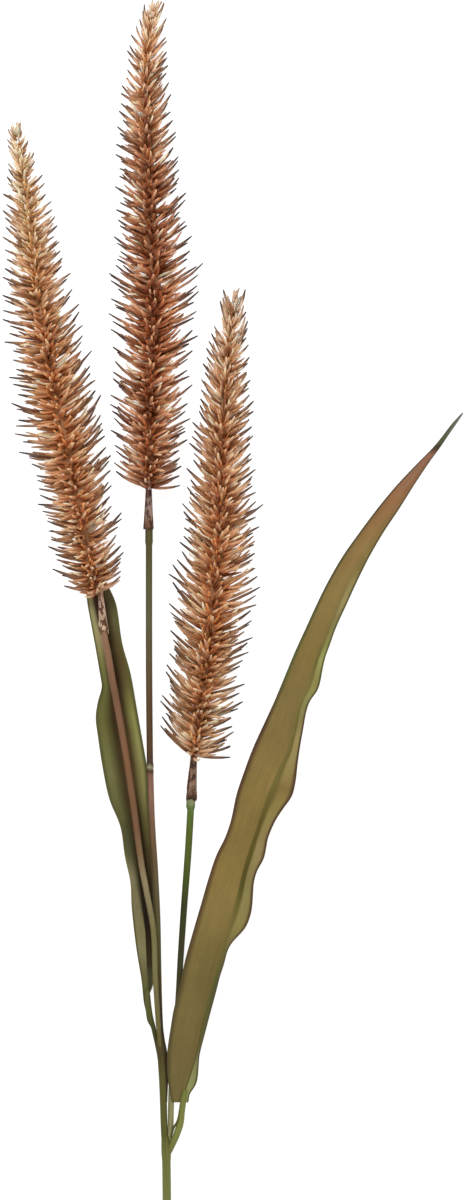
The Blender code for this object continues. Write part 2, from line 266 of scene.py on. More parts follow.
# %% Short words for wiring a finish
class Finish:
    """A material's node tree, with short calls for the nodes that the finishes use."""

    def __init__(self, name, roughness, specular=0.3, sheen=0.0):
        self.material = bpy.data.materials.new(name)
        self.material.use_nodes = True
        self.tree = self.material.node_tree
        self.shader = self.tree.nodes["Principled BSDF"]
        self.shader.inputs["Roughness"].default_value = roughness
        self.shader.inputs["Specular IOR Level"].default_value = specular
        self.shader.inputs["Sheen Weight"].default_value = sheen

    def add(self, kind, **inputs):
        """A new node, with its inputs fed by name."""
        node = self.tree.nodes.new("ShaderNode" + kind)
        for label, value in inputs.items():
            self.feed(node.inputs[label.replace("_", " ")], value)
        return node

    def feed(self, socket, value):
        """Links an output, or sets a number or colour."""
        if isinstance(value, bpy.types.NodeSocket):
            self.tree.links.new(value, socket)
        else:
            socket.default_value = value

    def place(self):
        """The point in the spray's own space."""
        return self.add("TexCoord").outputs["Object"]

    def span(self, value, low, high, to_low=0.0, to_high=1.0):
        """A value's place between low and high, as a share, or between two other numbers."""
        return self.add("MapRange", Value=value, From_Min=low, From_Max=high,
                        To_Min=to_low, To_Max=to_high).outputs[0]

    def span_y(self, place, low, high):
        """The share of the way along Y from low to high, in millimetres."""
        apart = self.add("SeparateXYZ", Vector=place)
        return self.span(apart.outputs["Y"], low * MM, high * MM)

    def on_piece(self, name):
        """The place on the piece's own UV map, whole and as two numbers."""
        chart = self.add("UVMap")
        chart.uv_map = name
        apart = self.add("SeparateXYZ", Vector=chart.outputs[0])
        return chart.outputs[0], apart.outputs["X"], apart.outputs["Y"]

    def math(self, operation, first, second=0.0, third=None):
        """A sum, a product or another operation on numbers and outputs."""
        node = self.add("Math")
        node.operation = operation
        self.feed(node.inputs[0], first)
        self.feed(node.inputs[1], second)
        if third is not None:
            self.feed(node.inputs[2], third)
        return node.outputs[0]

    def ramp(self, factor, *stops):
        """A colour ramp through (position, (red, green, blue)) stops in screen steps."""
        node = self.add("ValToRGB", Fac=factor)
        marks = node.color_ramp.elements
        marks[0].position, marks[0].color = stops[0][0], (*linear(*stops[0][1]), 1.0)
        marks[1].position, marks[1].color = stops[-1][0], (*linear(*stops[-1][1]), 1.0)
        for position, colour in stops[1:-1]:
            marks.new(position).color = (*linear(*colour), 1.0)
        return node.outputs["Color"]

    def effect(self, group, coordinates, **numbers):
        """A shared effect with its own numbers, as (shade, height)."""
        node = self.tree.nodes.new("ShaderNodeGroup")
        node.node_tree = group
        self.feed(node.inputs["Place"], coordinates)
        for label, value in numbers.items():
            node.inputs[label].default_value = value
        return node.outputs["Shade"], node.outputs["Height"]

    def mix(self, factor, first, second, blend="MIX"):
        """Two colours mixed by a factor."""
        node = self.add("Mix")
        node.data_type = "RGBA"
        node.blend_type = blend
        self.feed(node.inputs[0], factor)
        self.feed(node.inputs[6], first)
        self.feed(node.inputs[7], second)
        return node.outputs[2]

    def shaded(self, colour, shade):
        """A colour with each channel multiplied by a shade."""
        node = self.add("VectorMath")
        node.operation = "SCALE"
        self.feed(node.inputs[0], colour)
        self.feed(node.inputs["Scale"], shade)
        return node.outputs[0]

    def bump(self, height, strength, depth):
        """A height that the light sees as relief."""
        node = self.add("Bump", Height=height, Strength=strength, Distance=depth)
        self.feed(self.shader.inputs["Normal"], node.outputs[0])

    def colour(self, value):
        """Feeds the finished colour to the shader."""
        self.feed(self.shader.inputs["Base Color"], value)


def shares(low, high, stops):
    """Colour stops named by millimetres along Y, as shares of the way from low to high."""
    return [((y - low) / (high - low), colour) for y, colour in stops]


print("bench ready")

# %% [markdown]
# ## Stems
#
# Each stem is a moulded rod over a wire, 3 to 4 mm thick, smooth and slightly waxy, and coloured by
# hand from green to a dry purple brown. It could be a stretched cylinder, but it bends and tapers,
# so it is a curve with a round bevel that is turned into a mesh. The joints, where one rod goes
# into another, are short swellings in the same tube, so they grow out of the stem with no seam.

# %% Draw a stem
BEVEL_STEPS = 4
MERGE = 0.002 * MM


def draw_tube(rows, steps=5):
    """A smooth tapering tube through rows of (x, y, z, radius) in millimetres."""
    bpy.ops.object.select_all(action="DESELECT")
    bpy.ops.curve.primitive_bezier_curve_add()
    tube = bpy.context.object
    tube.data.splines.clear()
    tube.data.dimensions = "3D"
    tube.data.twist_mode = "Z_UP"
    tube.data.bevel_depth = MM
    tube.data.bevel_resolution = BEVEL_STEPS
    tube.data.use_fill_caps = True
    points = smooth_line([row[:3] for row in rows], steps)
    places = np.arange(len(points)) / steps
    radii = np.interp(places, np.arange(len(rows)), [row[3] for row in rows])
    spline = tube.data.splines.new("POLY")
    spline.points.add(len(points) - 1)
    for knot, point, radius in zip(spline.points, points, radii):
        knot.co = (*point, 1.0)
        knot.radius = radius
    bpy.ops.object.convert(target="MESH")
    tube = bpy.context.object
    bpy.ops.object.mode_set(mode="EDIT")
    bpy.ops.mesh.select_all(action="SELECT")
    bpy.ops.mesh.remove_doubles(threshold=MERGE)
    bpy.ops.mesh.normals_make_consistent(inside=False)
    bpy.ops.object.mode_set(mode="OBJECT")
    bpy.ops.object.shade_smooth_by_angle(angle=math.radians(50))
    return tube


# %% [markdown]
# A stem's colour changes along its length, from green where it is young to purple brown. Each
# stretch could be a material of its own, but then the colours meet in hard rings. The spray lies
# along Y, so the Y of the Object coordinates, stretched to 0 to 1 between a stem's ends, runs one
# colour ramp. Streaks run along the rod, and blotches break up the edge between two colours.


# %% Mix a stem's finish
def stem_finish(name, low, high, *stops):
    """A waxy rod, coloured along Y by (millimetres, colour) stops between low and high."""
    finish = Finish(name, 0.5, specular=0.15)
    place = finish.place()
    shade, height = finish.effect(streaks, place, Scale=1400.0, Stretch=0.04, Depth=0.5)
    patch, _ = finish.effect(blotches, place, Scale=90.0, Depth=0.05)
    uneven = finish.math("MULTIPLY", finish.span_y(place, low, high), patch)
    colour = finish.ramp(uneven, *shares(low, high, stops))
    finish.colour(finish.shaded(colour, shade))
    finish.bump(height, strength=0.35, depth=0.12 * MM)
    return finish.material


# %% The main stem and the upper stem
main_finish = stem_finish(
    "olive_rod", -320, -200, (-315, (110, 111, 64)), (-285, (116, 121, 65)), (-262, (110, 112, 58)),
    (-254, (94, 92, 42)), (-225, (91, 87, 40)), (-212, (78, 68, 36)), (-200, (74, 58, 34)))
main_stem = draw_tube((
    (-33.5, -315, 2.1, 2.1), (-33.7, -285, 2.3, 2.15), (-33.9, -267, 2.8, 2.15),
    (-34.0, -262, 3.0, 2.45), (-34.2, -258, 3.1, 2.3), (-34.5, -254, 3.2, 1.9)))
hand_over(main_stem, "main_stem_rod", main_finish, "green_stem", "main_stem")
upper_stem = draw_tube((
    (-34.5, -259, 3.1, 1.5), (-34.9, -253, 3.2, 1.7), (-35.7, -228, 3.5, 1.8),
    (-36.4, -216, 3.7, 1.85), (-36.7, -211.5, 3.8, 2.15), (-37.0, -208, 3.9, 1.9),
    (-37.4, -203, 4.0, 1.3)))
hand_over(upper_stem, "upper_stem_rod", main_finish, "green_stem", "upper_stem")

# %% [markdown]
# Three thinner rods leave the forks, one for each head. They could be copies of one rod, but each
# has its own bends and colours, so each gets its own rows of points and of colours. The left one
# lies over the fold of the left leaf and turns from olive to pinkish brown. The middle one is dark
# at its foot, pinkish below a small pale ring where two rods plug together, and olive above it. The
# right one ends fresh green, in a collar.

# %% The stem of the left head
left_rod = draw_tube((
    (-37.0, -209.1, 4.95, 0.9), (-37.9, -198, 5.6, 1.25), (-39.4, -174, 5.8, 1.35),
    (-40.3, -151, 5.8, 1.4), (-43.6, -132, 5.9, 1.5), (-46.2, -118, 6.2, 1.6),
    (-50.5, -86.5, 7.4, 1.7), (-54.2, -62, 8.7, 1.7), (-58.9, -35, 10.3, 1.7),
    (-61.0, -24, 11.1, 1.7), (-63.0, -12, 11.8, 1.65), (-64.8, -3, 12.5, 1.6),
    (-65.2, 2, 12.7, 1.5)))
left_rod_finish = stem_finish(
    "pink_brown_rod", -215, 5, (-210, (104, 94, 52)), (-190, (114, 104, 62)),
    (-165, (123, 115, 76)), (-150, (119, 112, 70)), (-125, (146, 130, 98)), (-112, (128, 100, 70)),
    (-100, (121, 88, 63)), (-65, (130, 91, 62)), (-45, (130, 93, 70)), (-32, (120, 87, 62)),
    (-20, (134, 98, 72)), (0, (144, 110, 84)))
hand_over(left_rod, "left_head_rod", left_rod_finish, "brown_stem", "left_spike_stem")

# %% The stem of the middle head
middle_rod = draw_tube((
    (-34.2, -237, 3.0, 0.7), (-33.9, -226, 3.2, 0.9), (-34.1, -214, 3.0, 0.95),
    (-35.6, -206, 2.9, 1.0), (-36.8, -198, 2.6, 1.25), (-37.7, -172, 2.7, 1.35),
    (-38.3, -145, 3.2, 1.45), (-39.5, -121, 4.3, 1.5), (-41.1, -96, 5.7, 1.55),
    (-41.9, -73, 7.0, 1.6), (-42.0, -71, 7.1, 1.8), (-42.0, -69.5, 7.2, 1.68),
    (-42.0, -68, 7.3, 1.8), (-42.1, -66, 7.4, 1.6), (-42.5, -20, 10.0, 1.65),
    (-42.5, 42, 12.9, 1.65), (-42.5, 44, 12.9, 1.95), (-42.5, 50.5, 13.0, 1.9)))
middle_rod_finish = stem_finish(
    "green_to_purple_rod", -240, 55, (-236, (58, 40, 28)), (-195, (58, 44, 24)),
    (-172, (74, 66, 28)), (-150, (84, 78, 46)), (-130, (96, 84, 56)), (-112, (104, 82, 56)),
    (-95, (120, 92, 68)), (-82, (139, 104, 84)), (-74, (132, 96, 76)), (-71.5, (60, 40, 30)),
    (-69.5, (158, 150, 118)), (-67.5, (70, 52, 40)), (-60, (86, 62, 40)), (-35, (94, 72, 46)),
    (-8, (94, 84, 58)), (5, (94, 92, 62)), (35, (87, 83, 50)), (52, (82, 74, 42)))
hand_over(middle_rod, "middle_head_rod", middle_rod_finish, "brown_stem", "middle_spike_stem")

# %% The stem of the right head
right_rod = draw_tube((
    (-32.9, -259.5, 2.0, 1.1), (-31.9, -250, 1.9, 1.5), (-31.4, -231, 1.7, 1.5),
    (-29.9, -208, 1.6, 1.45), (-28.0, -186, 1.6, 1.5), (-26.8, -165, 2.9, 1.55),
    (-24.9, -137, 5.9, 1.65), (-23.0, -112, 8.8, 1.75), (-21.7, -90, 11.7, 1.75),
    (-21.7, -88.4, 11.8, 2.3), (-21.6, -84.4, 12.2, 2.2)))
right_rod_finish = stem_finish(
    "fresh_green_rod", -262, -80, (-260, (150, 146, 104)), (-233, (142, 138, 94)),
    (-215, (96, 94, 54)), (-185, (66, 64, 36)), (-160, (60, 58, 32)), (-138, (56, 62, 26)),
    (-118, (78, 92, 34)), (-100, (86, 100, 38)), (-91, (92, 110, 46)), (-88.4, (106, 122, 70)),
    (-86.5, (138, 142, 104)), (-84, (120, 126, 88)))
hand_over(right_rod, "right_head_rod", right_rod_finish, "green_stem", "right_spike_stem")

# %% [markdown]
# ## Sleeves
#
# Under each head sits a short sleeve, the moulded foot of its core, that widens downwards and ends
# in a torn, dark rim. It could be a plain cone. Here a cone is cut into rings, its rim is folded
# inwards so that it has a lip, and each column of points is drawn in or out, which makes pleats.

# %% Turn and pleat a sleeve
SLEEVE_COLUMNS = 30
SLEEVE_CUTS = 11
LIP_RISE = 0.25 * MM
LIP_SHARE = 0.74
LINING = 3.0 * MM
PLEAT_DEPTH = 0.09
PLEAT_FADE = 1.2
TEAR_FADE = 3.5


def clear_picks():
    """Leaves a mesh with nothing selected on it."""
    bpy.ops.object.mode_set(mode="EDIT")
    bpy.ops.mesh.select_all(action="DESELECT")
    bpy.ops.object.mode_set(mode="OBJECT")


def cut_rings(obj, rise, cuts):
    """Cuts every edge that rises further than a length, which makes rings of points."""
    clear_picks()
    for edge in obj.data.edges:
        low, high = (obj.data.vertices[i].co.z for i in edge.vertices)
        edge.select = abs(high - low) > rise
    bpy.ops.object.mode_set(mode="EDIT")
    bpy.ops.mesh.subdivide(number_cuts=cuts)
    clear_picks()


def pleat_sleeve(foot, top, foot_radius, top_radius, torn, seed):
    """A pleated cone from foot to top, in millimetres, with a torn lower rim."""
    foot, top = Vector(foot) * MM, Vector(top) * MM
    length = (top - foot).length
    bpy.ops.object.select_all(action="DESELECT")
    bpy.ops.mesh.primitive_cone_add(
        vertices=SLEEVE_COLUMNS, radius1=foot_radius * MM, radius2=top_radius * MM, depth=length,
        end_fill_type="NOTHING", location=(0.0, 0.0, length / 2))
    sleeve = bpy.context.object
    bpy.ops.object.transform_apply(location=True)
    bpy.context.tool_settings.mesh_select_mode = (False, True, False)
    cut_rings(sleeve, length / 2, SLEEVE_CUTS)
    points = sleeve.data.vertices
    for edge in sleeve.data.edges:
        edge.select = all(points[i].co.z < 0.1 * MM for i in edge.vertices)
    bpy.ops.object.mode_set(mode="EDIT")
    bpy.ops.mesh.extrude_region_move(TRANSFORM_OT_translate={"value": (0.0, 0.0, LIP_RISE)})
    bpy.ops.transform.resize(
        value=(LIP_SHARE, LIP_SHARE, 1.0), center_override=(0.0, 0.0, 0.0))
    bpy.ops.mesh.extrude_region_move(TRANSFORM_OT_translate={"value": (0.0, 0.0, LINING)})
    bpy.ops.mesh.select_all(action="SELECT")
    bpy.ops.mesh.normals_make_consistent(inside=False)
    bpy.ops.object.mode_set(mode="OBJECT")
    dice = random.Random(seed)
    pleats = [dice.uniform(-PLEAT_DEPTH, PLEAT_DEPTH) for _ in range(SLEEVE_COLUMNS)]
    tears = [dice.uniform(-0.4, 1.0) * torn * MM for _ in range(SLEEVE_COLUMNS)]
    for point in sleeve.data.vertices:
        turn = math.atan2(point.co.y, point.co.x) / math.tau
        column = round(turn * SLEEVE_COLUMNS) % SLEEVE_COLUMNS
        height = point.co.z / length
        point.co.x *= 1.0 + pleats[column] * (PLEAT_FADE - height)
        point.co.y *= 1.0 + pleats[column] * (PLEAT_FADE - height)
        point.co.z += tears[column] * max(0.0, 1.0 - TEAR_FADE * height) ** 2
    sleeve.rotation_mode = "QUATERNION"
    sleeve.rotation_quaternion = (top - foot).to_track_quat("Z", "X")
    sleeve.location = foot
    only(sleeve)
    bpy.ops.object.shade_smooth_by_angle(angle=math.radians(60))
    return sleeve


# %% [markdown]
# A sleeve is dry and fibrous: pale straw or mauve strands with torn gaps between them. The gaps
# could be cut into the mesh, but they are thinner than its faces. So the heights of the streaks and
# of the blotches are added up, and where the sum is low a dark brown shows: painted shade, which
# stands for the shaded inside of the sleeve seen through a gap.


# %% Mix the sleeves' finish
def sleeve_finish(name, fineness, shaded_gap_colour, low, high, *stops):
    """A torn sheath, coloured along Y by (millimetres, colour) stops between low and high, with
    painted shade in its gaps.
    """
    finish = Finish(name, 0.62)
    place = finish.place()
    shade, height = finish.effect(streaks, place, Scale=fineness, Stretch=0.3, Depth=1.8)
    patch, depth = finish.effect(blotches, place, Scale=0.45 * fineness, Depth=1.2)
    colour = finish.ramp(finish.span_y(place, low, high), *shares(low, high, stops))
    colour = finish.shaded(finish.shaded(colour, shade), patch)
    # Where the sum is low a torn gap shows, in a dark brown that is painted shade of the sleeve's
    # inside.
    torn = finish.math("ADD", height, depth)
    shaded_gap_mask = finish.span(torn, 0.99, 0.92)
    finish.colour(finish.mix(shaded_gap_mask, colour, (*linear(*shaded_gap_colour), 1.0)))
    finish.bump(torn, strength=0.6, depth=0.3 * MM)
    return finish.material


# %% The three sleeves
# The dark brown after each sleeve's fineness is the painted shade in its gaps.
left_sleeve = pleat_sleeve(
    (-65.0, -1.6, 12.6), (-66.8, 21.0, 13.7), 2.5, 0.95, torn=2.8, seed=3)
left_sheath = sleeve_finish(
    "straw_sheath", 750.0, (92, 58, 34), -2, 18, (-2, (168, 142, 105)), (3, (196, 169, 142)),
    (7, (168, 142, 118)), (12, (192, 163, 146)), (18, (182, 146, 115)))
hand_over(left_sleeve, "left_sleeve_pleats", left_sheath, "mauve_sleeve", "left_spike_sleeve")

middle_sleeve = pleat_sleeve(
    (-42.8, 50.0, 13.0), (-42.6, 73.5, 13.7), 2.45, 1.35, torn=1.6, seed=5)
middle_sheath = sleeve_finish(
    "mauve_sheath", 900.0, (72, 42, 30), 50, 70, (50, (80, 50, 30)), (53, (110, 76, 48)),
    (56, (136, 110, 92)), (63, (139, 117, 111)), (70, (104, 72, 54)))
hand_over(
    middle_sleeve, "middle_sleeve_pleats", middle_sheath, "mauve_sleeve", "middle_spike_sleeve")

right_sleeve = pleat_sleeve(
    (-21.5, -85.0, 12.3), (-20.0, -61.0, 13.2), 2.75, 1.5, torn=1.6, seed=8)
right_sheath = sleeve_finish(
    "streaked_mauve_sheath", 800.0, (66, 40, 24), -85, -64, (-85, (70, 42, 32)),
    (-82.5, (91, 62, 41)), (-78, (132, 104, 84)), (-71, (118, 90, 70)), (-67, (134, 106, 80)),
    (-64, (120, 84, 60)))
hand_over(right_sleeve, "right_sleeve_pleats", right_sheath, "mauve_sleeve", "right_spike_sleeve")

# %% [markdown]
# ## Leaves
#
# A leaf is one thin ribbon, printed on both sides and creased along its midrib, with a wavy edge.
# It could be a plane bent by hand, row by row. A quicker way with the same result is to draw three
# lines, the left edge, the midrib and the right edge, to lay a grid between them, and then to give
# the grid a thickness and smooth it. The grid also brings a UV map that runs across and along.

# %% Lay a leaf between three lines
LEAF_COLUMNS = 14
LEAF_SHEET = 0.45 * MM


def line_at(line, y):
    """The point of an edge or midrib at a place along the leaf."""
    return Vector((np.interp(y, line[:, 1], line[:, 0]), y, np.interp(y, line[:, 1], line[:, 2])))


def lay_leaf(left, midrib, right, rows, belly):
    """A creased ribbon between the lines, as a sheet with a thickness.

    Each half sags by belly, in millimetres, but by no more than a tenth of its width.
    """
    left, midrib, right = (np.array(smooth_line(line, 6)) for line in (left, midrib, right))
    foot, tip = midrib[0, 1], midrib[-1, 1]
    bpy.ops.object.select_all(action="DESELECT")
    bpy.ops.mesh.primitive_grid_add(
        x_subdivisions=LEAF_COLUMNS, y_subdivisions=rows, size=2.0, calc_uvs=True)
    leaf = bpy.context.object
    for point in leaf.data.vertices:
        across = point.co.x
        y = foot + (tip - foot) * (point.co.y + 1.0) / 2.0
        edge = line_at(left if across < 0 else right, y)
        middle = line_at(midrib, y)
        sag = 4.0 * abs(across) * (1.0 - abs(across)) * belly * MM
        point.co = middle.lerp(edge, abs(across))
        point.co.z -= min(sag, 0.1 * (edge - middle).length)
    leaf.data.uv_layers[0].name = "Blade"
    sheet = leaf.modifiers.new("sheet", "SOLIDIFY")
    sheet.thickness = LEAF_SHEET
    sheet.offset = 0.0
    bpy.ops.object.modifier_apply(modifier="sheet")
    rounding = leaf.modifiers.new("rounding", "SUBSURF")
    rounding.levels = 1
    rounding.render_levels = 1
    bpy.ops.object.modifier_apply(modifier="rounding")
    bpy.ops.object.shade_smooth_by_angle(angle=math.radians(60))
    return leaf


# %% [markdown]
# The right leaf is the long one. It rises on its right side into a wavy fold and falls away to a
# narrow tip near the table. The left leaf is shorter and lies under the left stem, with its midrib on
# the table and both of its edges up. Even rows of points would need less thought, but each wave of
# an edge needs points of its own where it turns, and a straight stretch needs hardly any.

# %% Lay the right leaf
right_leaf = lay_leaf(
    left=((-31.0, -237, 4.4), (-32.0, -233, 4.6), (-33.2, -226, 4.7), (-33.6, -216, 4.8),
          (-33.3, -209, 4.8), (-31.8, -199, 4.8), (-30.5, -191, 4.8), (-27.5, -179, 4.8),
          (-24.5, -165, 4.7), (-20, -149, 4.6), (-16.5, -137, 4.3), (-13, -125, 4.0),
          (-9, -113, 3.6), (-4.5, -104, 3.4), (-1.5, -95, 3.2), (1, -83, 3.0), (5, -71, 2.9),
          (9.5, -59, 2.8), (15, -47, 2.7), (20.5, -35, 2.6), (25.5, -23, 2.5), (30.5, -11, 2.5),
          (36, 1, 2.4), (41.5, 13, 2.3), (47.5, 25, 2.2), (54.5, 37, 2.2), (63, 49, 2.0),
          (72, 61, 1.8), (82, 73, 1.7), (93.5, 85, 1.6), (99.5, 91, 1.8), (104.5, 97, 2.0),
          (109, 103, 2.3), (114.6, 109, 2.6)),
    midrib=((-25.8, -237, 3.0), (-25.0, -233, 3.0), (-22, -224, 2.9), (-18.8, -215, 2.8),
            (-17.4, -209, 2.7), (-15.6, -200, 2.5), (-12.6, -188, 2.2), (-9.8, -177, 2.0),
            (-6.8, -167, 1.8), (-4, -157, 1.5), (-1, -147, 1.3), (1, -140, 1.2), (3.5, -130, 1.0),
            (6, -119, 0.8), (9.3, -108, 0.7), (12, -100, 0.6), (16, -88, 0.5), (23, -70.5, 0.5),
            (27.8, -61, 0.5), (28.6, -57.5, 0.5), (30.6, -50, 0.5), (31.9, -42.5, 0.5),
            (34.2, -35, 0.5), (37.6, -28, 0.5), (41, -17, 0.5), (47.7, 1, 0.5), (54.9, 19, 0.5),
            (63, 35, 0.6), (71.3, 49, 0.7), (79.5, 61, 0.8), (88, 73, 1.0), (97, 85, 1.3),
            (101.5, 91, 1.6), (106, 97, 1.9), (110.3, 103, 2.2), (114.8, 109, 2.5)),
    right=((-22.8, -237, 4.8), (-22.2, -232, 5.6), (-19.6, -229, 6.4), (-18.3, -225, 7.0),
           (-17.8, -219, 7.4), (-17.4, -213, 7.8), (-16.2, -208, 8.2), (-14.6, -202, 8.6),
           (-12.0, -192, 9.2), (-9.0, -181, 9.8), (-7, -173, 10.2), (-5, -167, 10.4),
           (-3.5, -161, 10.6), (-1.5, -157, 10.7), (2.2, -153, 10.8), (5.5, -149.5, 10.6),
           (8, -144, 10.2), (9.2, -138, 10), (9.6, -131, 10.4), (10, -126, 11), (11.8, -120, 11.2),
           (14.8, -115, 10.8), (16.2, -109, 10.2), (16.8, -105, 10.6), (18.2, -101, 11.0),
           (21, -95, 10.6), (25, -89, 9.8), (29, -83.5, 8.8), (30.9, -76, 8.6), (31.8, -68, 9),
           (32.8, -60, 9.4), (34, -53, 9.2), (35.2, -46, 9), (36, -41.5, 8.8), (38, -35.5, 8.0),
           (41.5, -31, 6.8), (43, -27, 6.6), (44.3, -20, 7), (45.6, -14, 6.8), (47.8, -8, 6.4),
           (51, 1, 5.8), (56.5, 13, 5.2), (62, 25, 4.6), (68, 37, 4), (75, 49, 3.4), (83, 61, 2.8),
           (90.5, 73, 2.5), (98.5, 85, 2.2), (103, 91, 2.2), (107, 97, 2.3), (111.2, 103, 2.5),
           (115.2, 109, 2.7)),
    rows=150, belly=0.8)
print("right leaf:", len(right_leaf.data.polygons), "faces")

# %% Lay the left leaf
left_leaf = lay_leaf(
    left=((-42.6, -196, 3.0), (-45.0, -188, 2.9), (-46.3, -176, 3.2), (-49.1, -159, 4.0),
          (-51.4, -138.5, 4.8), (-52.0, -126.5, 5.0), (-54.8, -113.5, 5.3), (-57.0, -98.5, 5.6),
          (-62.5, -85, 5.8), (-66.0, -68.5, 5.8), (-68.4, -52.5, 5.8), (-69.4, -44, 5.6),
          (-68.3, -36, 5.4), (-66.2, -28.5, 5.0), (-66.9, -24, 4.9), (-69.1, -11, 4.2),
          (-71.8, 3.5, 2.8), (-73.8, 15, 1.6), (-74.4, 30, 0.9), (-75.2, 42, 0.7)),
    midrib=((-41.2, -196, 2.6), (-42.8, -188, 2.0), (-43.2, -176, 1.2), (-43.6, -162, 0.9),
            (-44.2, -145, 0.8), (-46.0, -120, 0.6), (-50.3, -86, 0.5), (-54.0, -62, 0.5),
            (-59, -35, 0.5), (-65, -2, 0.5), (-68.2, 14, 0.5), (-71.5, 30, 0.5), (-74.8, 43, 0.5)),
    right=((-40.6, -196, 2.9), (-42.2, -188, 2.6), (-42.4, -182, 2.5), (-40.8, -179.6, 2.5),
           (-40.6, -174, 2.5), (-40.1, -160, 2.6), (-39.7, -145, 2.8), (-39.9, -127, 3.6),
           (-41.2, -108, 4.6), (-42.2, -96, 5.0), (-42.8, -88, 5.2), (-43.4, -70, 5.5),
           (-44.8, -61, 5.6), (-48.5, -40, 5.6), (-51.8, -21.5, 5.0), (-56.0, -6.5, 3.8),
           (-58.8, 12, 2.2), (-62, 20, 1.6), (-68.0, 30, 0.9), (-74.2, 42, 0.7)),
    rows=100, belly=0.6)
print("left leaf:", len(left_leaf.data.polygons), "faces")

# %% [markdown]
# The print on a leaf follows the blade and not the table. It could be placed by X and Y, like a
# stem's colours, but then a bend in the leaf would leave its print behind. So it reads the leaf's
# own UV map: U runs from the left edge over the midrib to the right edge, and V from the foot to
# the tip. Narrow bands of U make the midrib and the dark edges, and V carries the change from green
# to dry orange. On the left leaf the bands beside the midrib widen and turn dark: painted shade,
# where the fold is deep and the stem lies in it.


# %% Mix the leaves' finish
HALF_FOLD = 0.015


def leaf_finish(name, halves, midrib_and_shade_stops, midrib_and_shade_widths, widening, edge_stops, edge_widths):
    """A printed blade. Halves, midrib bands and widths come in pairs, for the left and the right
    half.

    A midrib band holds the midrib's print and, where a stem lies in the fold, painted shade. It
    goes from the first to the second of its widths where V passes through the widening.
    """
    finish = Finish(name, 0.72, specular=0.2, sheen=0.05)
    chart, across, along = finish.on_piece("Blade")
    place = finish.place()
    side = finish.span(across, 0.5 - HALF_FOLD, 0.5 + HALF_FOLD)
    from_rib = finish.math("ABSOLUTE", finish.math("SUBTRACT", across, 0.5))
    margin = finish.math("SUBTRACT", 0.5, from_rib)
    midrib_and_shade_masks, edge_masks = [], []
    for low, high in midrib_and_shade_widths:
        width = finish.span(along, *widening, low, high)
        midrib_and_shade_masks.append(finish.span(from_rib, width, finish.math("MULTIPLY", width, 0.45)))
    for width in edge_widths:
        edge_masks.append(finish.span(margin, width, 0.3 * width))
    colour = finish.mix(side, *(finish.ramp(along, *stops) for stops in halves))
    # The midrib band's colours: the midrib's print, and on the left leaf painted shade of the deep
    # fold and of the stem in it.
    midrib_and_shade_colour = finish.mix(side, *(finish.ramp(along, *stops) for stops in midrib_and_shade_stops))
    colour = finish.mix(finish.mix(side, *midrib_and_shade_masks), colour, midrib_and_shade_colour)
    colour = finish.mix(finish.mix(side, *edge_masks), colour, finish.ramp(along, *edge_stops))
    patch, _ = finish.effect(blotches, place, Scale=70.0, Depth=0.42)
    grain, weave = finish.effect(blotches, place, Scale=1500.0, Depth=0.22)
    stretched = finish.add("VectorMath")
    stretched.operation = "MULTIPLY"
    finish.feed(stretched.inputs[0], chart)
    stretched.inputs[1].default_value = (1.0, 3.0, 1.0)
    veins, ridge = finish.effect(
        streaks, stretched.outputs[0], Scale=38.0, Stretch=0.12, Depth=0.34)
    for shade in (patch, grain, veins):
        colour = finish.shaded(colour, shade)
    finish.colour(colour)
    finish.bump(finish.math("MULTIPLY_ADD", weave, 0.35, ridge), strength=0.3, depth=0.2 * MM)
    return finish.material


# %% Print the right leaf, olive and then dry orange, with a dark band before its grey tip
right_leaf_rib = (
    (0, (98, 92, 46)), (0.10, (97, 92, 44)), (0.18, (105, 102, 50)), (0.25, (119, 107, 56)),
    (0.29, (104, 95, 42)), (0.32, (88, 80, 28)), (0.40, (100, 88, 36)), (0.47, (112, 102, 50)),
    (0.54, (122, 110, 58)), (0.60, (122, 112, 58)), (0.642, (114, 104, 52)), (0.70, (128, 115, 66)),
    (0.76, (134, 117, 66)), (0.84, (140, 112, 66)), (0.90, (142, 100, 68)), (0.938, (140, 96, 72)),
    (0.948, (58, 50, 38)), (0.97, (86, 88, 60)), (1.0, (122, 124, 118)))
right_leaf_finish = leaf_finish(
    "olive_blade",
    halves=(
        ((0, (113, 99, 56)), (0.12, (121, 104, 57)), (0.21, (123, 106, 57)), (0.3, (139, 118, 63)),
         (0.38, (134, 113, 59)), (0.47, (136, 115, 61)), (0.58, (128, 109, 62)),
         (0.66, (131, 111, 58)), (0.73, (138, 117, 65)), (0.815, (143, 114, 66)),
         (0.873, (147, 104, 67)), (0.916, (146, 107, 82)), (0.938, (146, 100, 76)),
         (0.948, (62, 52, 42)), (0.958, (84, 84, 56)), (0.985, (92, 96, 74)), (1, (126, 128, 122))),
        ((0, (156, 158, 103)), (0.06, (152, 152, 97)), (0.085, (112, 108, 58)),
         (0.18, (107, 105, 52)), (0.22, (128, 120, 66)), (0.25, (148, 135, 78)),
         (0.3, (158, 147, 90)), (0.37, (160, 142, 92)), (0.42, (153, 139, 79)),
         (0.455, (137, 115, 62)), (0.5, (170, 156, 97)), (0.525, (178, 162, 103)),
         (0.55, (158, 149, 95)), (0.584, (153, 152, 92)), (0.613, (149, 145, 83)),
         (0.642, (172, 177, 108)), (0.665, (148, 147, 84)), (0.70, (145, 137, 86)),
         (0.728, (168, 155, 102)), (0.772, (136, 121, 69)), (0.82, (138, 114, 66)),
         (0.88, (142, 102, 68)), (0.938, (138, 94, 70)), (0.948, (58, 50, 36)),
         (0.958, (78, 80, 48)), (1, (120, 122, 116)))),
    midrib_and_shade_stops=(right_leaf_rib, right_leaf_rib), midrib_and_shade_widths=((0.03, 0.04), (0.06, 0.18)),
    widening=(0.2, 0.3),
    edge_stops=((0.0, (84, 78, 40)), (0.35, (88, 64, 38)), (0.55, (80, 56, 36)),
                (0.62, (84, 88, 44)), (0.85, (72, 68, 38)), (1.0, (70, 72, 56))),
    edge_widths=(0.09, 0.12))
hand_over(right_leaf, "right_leaf_blade", right_leaf_finish, "olive_leaf", "right_leaf")
